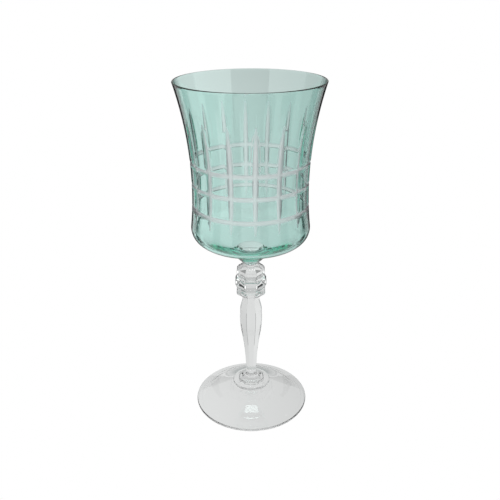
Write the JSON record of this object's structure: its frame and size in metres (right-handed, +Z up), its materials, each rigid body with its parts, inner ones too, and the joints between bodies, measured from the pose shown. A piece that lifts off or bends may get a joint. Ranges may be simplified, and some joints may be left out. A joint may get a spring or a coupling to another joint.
{
  "type": "wine glass",
  "caption": "Stemmed wine glass: flared bowl cased in mint glass and cut to clear, panelled stem with knops, round foot.",
  "frame": {"origin": "centre of the plane that the foot rests on, on the glass's axis", "axes": "+Z up along the glass's axis, -Y towards the viewer; a flat panel of the stem faces each of +X, -X, +Y and -Y"},
  "size_m": [0.085, 0.085, 0.21],
  "materials": {
    "clear_glass": "polished, with soft fire-polished edges; frosted where the cuts reach it",
    "mint_glass": "polished, transparent mint green"
  },
  "bodies": {
    "root": {"bowl_lining": "clear_glass", "bowl_casing": "mint_glass", "upper_knop": "clear_glass", "ball_knop": "clear_glass", "collar": "clear_glass", "baluster": "clear_glass", "merese": "clear_glass", "foot": "clear_glass"}
  },
  "joints": []
}
